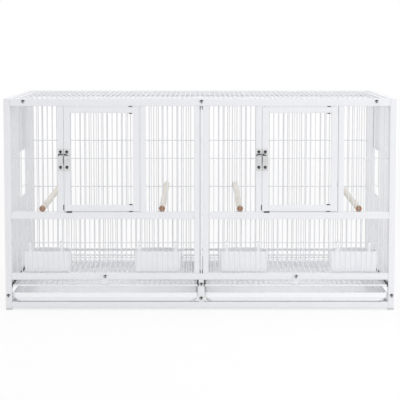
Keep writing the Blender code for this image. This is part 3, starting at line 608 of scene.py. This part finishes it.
def make_gap_shade_strip(bay, side):
    low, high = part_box(f"{bay}_grate")
    edge = low.x if side == "left" else high.x
    turn = SIDES[side]
    web = (edge + turn * 0.0002, edge + turn * 0.0017)
    flange = (edge - turn * 0.0030, edge + turn * 0.0015)
    flange_run = (SHADE_STRIP_RUN[0] + 0.0002, SHADE_STRIP_RUN[1] - 0.0002)
    bm = bmesh.new()
    tube(bm, web, SHADE_STRIP_RUN, (GRATE_SEAT, SHADE_STRIP_TOP), 0.0004, 2)
    tube(bm, flange, flange_run, (SHADE_STRIP_TOP - 0.0016, SHADE_STRIP_TOP - 0.0001), 0.0004, 2)
    # A black strip: painted shade for the gap beside the grate.
    piece(f"{bay}_{side}_grate_gap_shade_strip", bm, black_plastic, "cage", "black_plastic")


for bay in BAYS:
    for side in SIDES:
        make_gap_shade_strip(bay, side)


# Divider panel
# A wire panel in a rod frame that slides in through the slot between the bays. A black plastic clip
# round each end of its front rod keeps it from rattling; its black cheeks beside the rod are also
# painted shade for the gaps in the slot.

CLIP_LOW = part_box("divider_bottom_tip")[0].z
CLIP_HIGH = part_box("divider_top_tip")[1].z
CLIP_ENDS = (0.0965, 0.4862)


def make_divider():
    bm = bmesh.new()
    low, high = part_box("divider")
    radius = (high.x - low.x) / 2
    x, front, back = low.x + radius, low.y + radius, high.y - radius
    bottom, top = low.z + radius, high.z - radius
    wire(bm, (x, front, CLIP_LOW + 0.0005), (x, front, CLIP_HIGH - 0.0005), radius, 12)
    wire(bm, (x, back, low.z), (x, back, high.z), radius, 12)
    for z in (bottom, top):
        wire(bm, (x, front, z), (x, back, z), radius, 12)
    aside = 0.00095
    for y in spaced(front + radius, back - radius):
        wire(bm, (x + aside, y, bottom), (x + aside, y, top))
    for z in shared(bottom + radius, top - radius, 2):
        wire(bm, (x - aside, front, z), (x - aside, back, z))
    piece("divider_wires", bm, lit_inner_coat, "divider_body", "powder_coat", "divider")
    return x, low.y


def make_clip_with_shade_cheeks(name, x, front, span_z):
    """Two black cheeks beside the rod, joined behind it; the cheeks are painted shade for the slot's
    gaps.
    """
    bm = bmesh.new()
    for turn in (-1, 1):
        tube(bm, (x + turn * 0.0020, x + turn * 0.0033), (front, front + 0.0120), span_z, 0.0003, 2)
    tube(bm, (x - 0.0025, x + 0.0025), (front + 0.0046, front + 0.0118), span_z, 0.0003, 2)
    piece(f"{name}_clip", bm, black_plastic, "divider_body", "black_plastic", name)


rod_x, rod_front = make_divider()
make_clip_with_shade_cheeks("divider_top_tip", rod_x, rod_front, (CLIP_ENDS[1], CLIP_HIGH))
make_clip_with_shade_cheeks("divider_bottom_tip", rod_x, rod_front, (CLIP_LOW, CLIP_ENDS[0]))


# Front doors
# A lighter tube frame with its own wires, turning on a black plastic pin above and below near its
# right edge. The door lies flush with the frame; two black pads in the gaps at its lower free corner
# are painted shade.

DOOR_TUBE = 0.0145


def make_door(bay):
    tubes, wires = bmesh.new(), bmesh.new()
    low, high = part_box(f"{bay}_door")
    depth = (low.y, high.y)
    left, right = low.x + DOOR_TUBE, high.x - DOOR_TUBE
    for span in ((low.x - LATCH_EDGE, left), (right, high.x)):
        tube(tubes, span, depth, (low.z, high.z), FINE_EDGE)
    for z in (low.z, high.z - DOOR_TUBE):
        tube(tubes, (left, right), depth, (z, z + DOOR_TUBE))
    y = (low.y + high.y) / 2
    inside = (left, right, low.z + DOOR_TUBE, high.z - DOOR_TUBE)
    wire_band(wires, *inside, y, [UPPER_CROSS], y + WIRE_DROP)
    node = f"{bay}_door"
    piece(f"{node}_frame", tubes, powder_coat, f"{node}_body", "powder_coat", node)
    piece(f"{node}_wires", wires, shaded_wire_coat, f"{node}_body", "powder_coat", node)
    soften(f"{bay}_upper_pin", black_plastic, 0.0002)
    soften(f"{bay}_lower_pin", black_plastic, 0.0002)


def make_gap_shade_pads(bay):
    """A pad on the stile's edge and one over the rail's edge, at the door's lower free corner: black, as
    painted shade in the door's gaps.
    """
    side, sill = DOORWAYS[bay][0] + LATCH_EDGE, UPPER_WINDOW[0]
    pad_face = (FRONT - 0.0006, FRONT + 0.0006)
    inward = (FRONT - 0.0002, FRONT + 0.010)
    upright, along = (sill + 0.0045, sill + 0.0175), (side + 0.0055, side + 0.0185)
    lap, pad_top, rounding = 0.0018, sill + 0.0013, 0.0002
    bm = bmesh.new()
    tube(bm, (side - lap, side + 0.0002), pad_face, upright, rounding, 2)
    tube(bm, along, pad_face, (sill - lap, pad_top), rounding, 2)
    tube(bm, along, inward, (sill - 0.0002, pad_top), rounding, 2)
    # Black pads: painted shade in the gaps at the door's corner.
    piece(f"{bay}_door_gap_shade_pads", bm, black_plastic, "cage", "black_plastic")


for bay in BAYS:
    make_door(bay)
    make_gap_shade_pads(bay)


# Screws
# Plated pan heads with a deep cross recess: three in each top rail, one low in each post, two in
# the tray post and two in each latch plate. Each head is darker over its top as painted shade, and
# its cross is lined with black as painted shade; the swivel tabs' heads carry less of that shade.

FRAME_SCREW_R, FRAME_SCREW_H = 0.0048, 0.0023
TOP_SCREWS_X, TOP_SCREW_Z = (-0.423, 0.0035, 0.422), 0.5048
POST_SCREW_X, POST_SCREW_Z = 0.4635, 0.0347
TRAY_POST_SCREWS_Z = (0.0628, 0.0284)


def plating_top_shade_finish(name, shade_offset):
    """Bright plating, darker over the top of each head as painted shade, broken up by noise. The painted
    shade shrinks as the offset rises.
    """
    made, shader, points = finish(name, metallic=0.8)
    height = points.node("ShaderNodeSeparateXYZ", {}, {"Vector": points}, "Z")
    # Darker towards the top of each head: painted shade.
    top_shade_mask = (points.noise(330, 1) - height * 62).scaled(8, shade_offset)
    fine = points.noise(1400, 2)
    coat(shader, base_color=top_shade_mask.mix((0.03, 0.03, 0.031), (0.70, 0.70, 0.705)))
    coat(shader, roughness=fine * 0.3 + 0.2)
    coat(shader, normal=bumped(fine, 0.00005, 0.3))
    return made


plating_top_shade = plating_top_shade_finish("plating_top_shade", -2.75)


def carve(obj, cutter, lining=None):
    """Cuts the shapes in a mesh out of a piece for good, and lines the cuts if a material is given."""
    mesh = bpy.data.meshes.new(obj.name + "_cuts")
    cutter.to_mesh(mesh)
    cutter.free()
    tool = placed(obj.name + "_cuts", mesh)
    cut = obj.modifiers.new("cuts", "BOOLEAN")
    cut.operation = "DIFFERENCE"
    cut.object = tool
    if lining:
        mesh.materials.append(lining)
        cut.use_self = True
        cut.material_mode = "TRANSFER"
    bpy.context.view_layer.update()
    shaped = obj.evaluated_get(bpy.context.evaluated_depsgraph_get())
    shaped = bpy.data.meshes.new_from_object(shaped)
    obj.modifiers.clear()
    obj.data = shaped
    bpy.data.objects.remove(tool, do_unlink=True)


def screw_head(name, place, turn, radius, height, body, metal, *nodes):
    """A domed head standing on -Y, with a pressed cross in it, lined with black plastic as painted
    shade.
    """
    bm = bmesh.new()
    steps, sides = 5, 20
    around = [math.radians(360) * k / sides for k in range(sides)]
    rings = []
    for i in range(steps + 1):
        angle = math.radians(90) * i / steps
        ring_r = radius * (0.42 + 0.58 * math.cos(angle)) if i else radius
        y = -height * (0.3 + 0.7 * math.sin(angle))
        rings.append([bm.verts.new((ring_r * math.cos(a), y, ring_r * math.sin(a))) for a in around])
    base = [bm.verts.new((v.co.x, 0, v.co.z)) for v in rings[0]]
    skin(bm, [base] + rings)
    head = piece(name, bm, metal, body, "black_steel", *nodes)
    cutter = bmesh.new()
    slot_w, slot_l = radius * 0.17, radius * 0.525
    for half_x, half_z in ((slot_l, slot_w), (slot_w, slot_l)):
        block(cutter, (-half_x, half_x), (-height * 1.75, -height * 0.25), (-half_z, half_z))
    # The cross is lined with black plastic: painted shade in the recess.
    carve(head, cutter, black_plastic)
    lean = Matrix.Rotation(turn, 4, "Z") @ Matrix.Rotation(math.radians(17), 4, "Y")
    head.matrix_world = Matrix.Translation(place) @ lean
    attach(head, body)


def make_frame_screws():
    spots = [("top", x, TOP_SCREW_Z) for x in TOP_SCREWS_X]
    spots += [("post", turn * POST_SCREW_X, POST_SCREW_Z) for turn in (-1, 1)]
    spots += [("tray_post", sum(TRAY_POST) / 2, z) for z in TRAY_POST_SCREWS_Z]
    sort = (FRAME_SCREW_R, FRAME_SCREW_H, "cage", plating_top_shade)
    for i, (where, x, z) in enumerate(spots):
        screw_head(f"front_{where}_screw_{i + 1}", (x, FRONT, z), 0, *sort)
        if where != "tray_post":
            screw_head(f"back_{where}_screw_{i + 1}", (x, BACK, z), math.pi, *sort)


make_frame_screws()


# Swivel tabs
# Small pressed plates on the lower rail, each on its own screw. Hanging down they hold the grate in.

# The tab screws' heads carry less of the painted shade on their tops.
plating_less_top_shade = plating_top_shade_finish("plating_less_top_shade", -2.2)


def make_tab(bay):
    tab, screw = f"{bay}_tab", f"{bay}_tab_screw"
    soften(tab, powder_coat, 0.0003)
    low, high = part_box(screw)
    radius = (high.x - low.x) / 2
    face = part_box(tab)[0].y
    place = ((low.x + high.x) / 2, face, (low.z + high.z) / 2)
    screw_head(f"{screw}_head", place, 0, radius, face - low.y, "cage", plating_less_top_shade, screw)


for bay in BAYS:
    make_tab(bay)


# Latches
# Nickel-plated: a housing on the door with a bolt that slides by its knob, and a keeper on the
# stile. Each plate is held by two small screws, and a dark wire across it under the upper one is
# painted shade.

PLATE_FACE = FRONT - 0.0018
LATCH_SCREW_R, LATCH_SCREW_H = 0.0041, 0.0018


def nickel_finish():
    made, shader, points = finish("nickel", metallic=1.0)
    rub = points.stretched(1, 1, 0.12).noise(1600, 3)
    cloud = points.noise(160, 2)
    coat(shader, base_color=cloud.mix((0.60, 0.605, 0.61), (0.75, 0.755, 0.76)))
    coat(shader, roughness=rub * 0.18 + cloud * 0.1 + 0.18)
    coat(shader, normal=bumped(rub, 0.00003, 0.3))
    return made


def black_steel_finish():
    """Near-black steel in an uneven random tone, for the dark wires on the latch plates that are painted
    shade.
    """
    made, shader, points = finish("black_steel", metallic=0.6)
    wear = points.noise(700, 3)
    coat(shader, base_color=wear.mix((0.012, 0.012, 0.013), (0.05, 0.05, 0.052)))
    coat(shader, roughness=wear * 0.3 + 0.3)
    coat(shader, normal=bumped(wear, 0.00006, 0.3))
    return made


nickel = nickel_finish()
black_steel = black_steel_finish()
# The latch screws' heads carry more of the painted shade on their tops.
plating_more_top_shade = plating_top_shade_finish("plating_more_top_shade", -4.4)


def make_shade_line_wire(bay, part, body, rises):
    """A dark wire across a plate, under its upper screw, with its ends turned down: painted shade for
    the dark line there.
    """
    low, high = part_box(f"{bay}_latch_{part}")
    y, level, radius = PLATE_FACE - 0.0006, high.z - 0.0130, 0.0012
    start = Vector((low.x + 0.0016, y, level + rises[0]))
    stop = Vector((high.x - 0.0013, y, level + rises[1]))
    path = [start - Vector((0, 0, 0.0035)), start, stop, stop - Vector((0, 0, 0.0012))]
    bm = bmesh.new()
    for near, far in zip(path, path[1:]):
        wire(bm, near, far, radius, 10)
    ball = {"u_segments": 10, "v_segments": 6, "radius": radius * 1.03}
    for corner in (start, stop):
        bmesh.ops.create_uvsphere(bm, matrix=Matrix.Translation(corner), **ball)
    piece(f"{bay}_{part}_spring", bm, black_steel, body, "black_steel")


def make_latch(bay):
    door = f"{bay}_door_body"
    for part, body in (("housing", door), ("keeper", "cage")):
        node = f"{bay}_latch_{part}"
        soften(node, nickel, 0.00025)
        low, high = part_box(node)
        x = (low.x + high.x) / 2
        sort = (LATCH_SCREW_R, LATCH_SCREW_H, body, plating_more_top_shade)
        for end, z in (("lower", low.z + 0.0078), ("upper", high.z - 0.0072)):
            screw_head(f"{bay}_{part}_{end}_screw", (x, PLATE_FACE, z), 0, *sort)
    soften(f"{bay}_latch_bolt", nickel, 0.0002)
    # Dark wires across both plates: painted shade.
    make_shade_line_wire(bay, "keeper", "cage", (0, 0))
    make_shade_line_wire(bay, "housing", door, (0.0010, -0.0046))


for bay in BAYS:
    make_latch(bay)


# Feeder cups
# Thin white plastic cups, half round at the back and moulded like the trays. Each stands on the
# lower rail and hooks over the lower cross wire with two straps.

CUP_D, CUP_H = 0.062, 0.0515
CUP_BACK_R, CUP_FRONT_R = 0.040, 0.006
HOOK_X = 0.038
CROSS_TOP = 0.0013


def make_cup(name, body):
    low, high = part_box(name)
    levels = (  # the bottom, the wall outside, the rim, the wall inside and the floor
        (0.0055, 0), (0.0044, 0.0003), (0.0036, 0.0012), (0.0031, 0.0027),
        (0.0003, 0.0470), (0.0001, 0.0506), (0.0002, 0.0511), (0.0006, CUP_H),
        (0.0014, CUP_H), (0.0018, 0.0511), (0.0021, 0.0504),
        (0.0049, 0.0052), (0.0055, 0.0031), (0.0074, 0.0020),
    )
    bm = bmesh.new()
    tub(bm, high.x - low.x, CUP_D, CUP_BACK_R, CUP_FRONT_R, levels)
    bm.transform(Matrix.Translation(((low.x + high.x) / 2, high.y - CUP_D / 2, low.z)))
    piece(f"{name}_moulding", bm, white_plastic, body, "white_plastic", name)
    return low, high


def cup_hook(name, body, x, low, high):
    """A flat strap up from the rim, over the cross wire and a little way down in front of it."""
    bm = bmesh.new()
    wall = high.y - CUP_D + 0.0003
    width, strap, top = (x - 0.003, x + 0.003), 0.0018, LOWER_CROSS + CROSS_TOP
    tube(bm, width, (wall, wall + strap), (low.z + CUP_H - 0.004, top + strap), 0.0005, 2)
    tube(bm, width, (low.y, wall + 0.0012), (top, top + strap), 0.0005, 2)
    tube(bm, width, (low.y, low.y + strap), (top - 0.006, top + strap * 0.7), 0.0005, 2)
    piece(name, bm, white_plastic, body, "white_plastic")


def make_cups():
    for bay, (start, end) in BAYS.items():
        wires = spaced(start, end)
        step = wires[1] - wires[0]
        for number in (1, 2):
            name, body = f"{bay}_feeder_{number}", f"{bay}_cup_{number}"
            low, high = make_cup(name, body)
            middle = (low.x + high.x) / 2
            for side, turn in SIDES.items():
                gap = round((middle + turn * HOOK_X - start) / step - 0.5)
                x = start + step * (gap + 0.5)
                cup_hook(f"{name}_{side}_hook", body, x, low, high)


make_cups()


# Perches
# Bare turned dowels, slotted over a front wire at one end and notched over a back cross wire at
# the other. The grain runs along them and shows as rings on the cut ends.


def pale_wood_finish():
    made, shader, points = finish("pale_wood", specular_ior_level=0.3)
    facing = points.node("ShaderNodeTexCoord", {}, {}, "Normal")
    parts = points.node("ShaderNodeSeparateXYZ", {}, {"Vector": facing}, "Z")
    end = abs(parts) > 0.7
    grain = points.stretched(1, 1, 0.05).noise(420, 4, 0.6)
    fibre = points.stretched(1, 1, 0.02).noise(1500, 2)
    rings = points.node(
        "ShaderNodeTexWave",
        {"wave_type": "RINGS", "rings_direction": "Z"},
        {"Vector": points, "Scale": 190.0, "Distortion": 2.5, "Detail": 2.0, "Detail Scale": 3.0},
    )
    side = (fibre * 0.3).mix(grain.mix((0.76, 0.72, 0.65), (0.88, 0.86, 0.81)), (0.66, 0.58, 0.48))
    cut = rings.mix((0.24, 0.10, 0.05), (0.52, 0.29, 0.18))
    coat(shader, base_color=end.mix(side, cut))
    coat(shader, roughness=grain * 0.2 + 0.6)
    coat(shader, normal=bumped(fibre * 0.6 + grain * 0.4, 0.0002, 0.4))
    return made


pale_wood = pale_wood_finish()
SLIT_HALF = 0.0017
SLIT_DEPTH = 0.012
NOTCH_DEPTH = 0.003
NOTCH_Y = BACK - TUBE / 2 - 0.0036


def make_perch(name):
    low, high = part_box(name)
    radius = (high.x - low.x) / 2
    x = (low.x + high.x) / 2
    notch_top = PERCH_CROSS + CROSS_TOP
    near = Vector((x, low.y + 0.0001, low.z + radius))
    far = Vector((x, high.y - 0.0001, notch_top - NOTCH_DEPTH + radius))
    bm = bmesh.new()
    wire(bm, (0, 0, 0), (0, 0, (far - near).length), radius, 32)
    ends = [e for e in bm.edges if abs(e.verts[0].co.z - e.verts[1].co.z) < 0.00001]
    bmesh.ops.bevel(bm, geom=ends, offset=0.0005, segments=2, affect="EDGES", profile=0.5)
    dowel = piece(name + "_dowel", bm, pale_wood, "cage", "pale_wood", name)
    along = (far - near).to_track_quat("Z", "Y").to_matrix().to_4x4()
    dowel.matrix_world = Matrix.Translation(near) @ along
    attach(dowel, "cage")
    cutter = bmesh.new()
    slit_y, slit_z = (low.y - 0.01, low.y + SLIT_DEPTH), (low.z - 0.01, low.z + 0.03)
    block(cutter, (x - SLIT_HALF, x + SLIT_HALF), slit_y, slit_z)
    block(cutter, (x - 0.02, x + 0.02), (NOTCH_Y, NOTCH_Y + 0.03), (PERCH_CROSS - 0.03, notch_top))
    carve(dowel, cutter)


for bay in BAYS:
    for number in (1, 2):
        make_perch(f"{bay}_perch_{number}")


# Floor, light and camera
# White paper under and behind the cage, soft light from all round with a little more from the
# right, and a camera a little above the cage's top, looking slightly down.


def seen_directly(tree):
    """1 for the rays that show a surface itself: from the camera, off metal and through clear pieces."""
    camera_ray, glossy, clear = (
        Shade(tree).node("ShaderNodeLightPath", {}, {}, f"Is {kind} Ray")
        for kind in ("Camera", "Glossy", "Transmission")
    )
    return camera_ray.maths("MAXIMUM", camera_ray, glossy.maths("MAXIMUM", glossy, clear))


def make_floor():
    bm = bmesh.new()
    bmesh.ops.create_grid(bm, x_segments=4, y_segments=4, size=12)
    mesh = bpy.data.meshes.new("floor")
    bm.to_mesh(mesh)
    bm.free()
    floor = placed("floor", mesh)
    made, shader, points = finish("white_paper", roughness=0.9)
    tree = made.node_tree
    coat(shader, base_color=points.noise(4, 2).mix((0.90, 0.90, 0.90), (0.92, 0.92, 0.92)))
    away = points.node("ShaderNodeVectorMath", {"operation": "LENGTH"}, {0: points}, "Value")
    away = away.scaled(0.3, -0.4)
    white = points.node("ShaderNodeEmission", {}, {"Color": (1, 1, 1, 1), "Strength": 1.0}, "Emission")
    lifted = seen_directly(tree) * (away * 0.22 + 0.78)
    sides = {0: lifted, 1: Shade(tree, shader.outputs[0]), 2: white}
    paper = points.node("ShaderNodeMixShader", {}, sides)
    tree.links.new(paper.output, tree.nodes["Material Output"].inputs["Surface"])
    mesh.materials.append(made)


make_floor()


def soft_lamp(name, place, size, power):
    """A square lamp, in metres and watts, turned to the middle of the cage."""
    lamp = bpy.data.lights.new(name, "AREA")
    lamp.size = size
    lamp.energy = power
    obj = placed(name, lamp)
    obj.location = place
    obj.rotation_euler = (Vector((0, 0, 0.25)) - obj.location).to_track_quat("-Z", "Y").to_euler()


soft_lamp("key_lamp", (1.5, -1.6, 0.8), 1.2, 7)
soft_lamp("front_lamp", (-0.4, -3.6, 1.1), 1.8, 3)
soft_lamp("top_lamp", (0.2, -0.3, 3.0), 2.4, 26)

world = bpy.data.worlds.new("studio")
world.use_nodes = True
bpy.context.scene.world = world
sky = world.node_tree.nodes["Background"]
sky.inputs["Color"].default_value = (1, 1, 1, 1)
level = seen_directly(world.node_tree) * 0.24 + 0.76
world.node_tree.links.new(level.output, sky.inputs["Strength"])

lens = bpy.data.cameras.new("camera")
lens.lens = 118.6
lens.sensor_width = 36
lens.shift_y = -0.1329
camera = placed("camera", lens)
camera.location = (0, -3.3667, 0.672)
camera.rotation_euler = (math.radians(85), 0, 0)
bpy.context.scene.camera = camera
bpy.context.scene.view_settings.view_transform = "Standard"
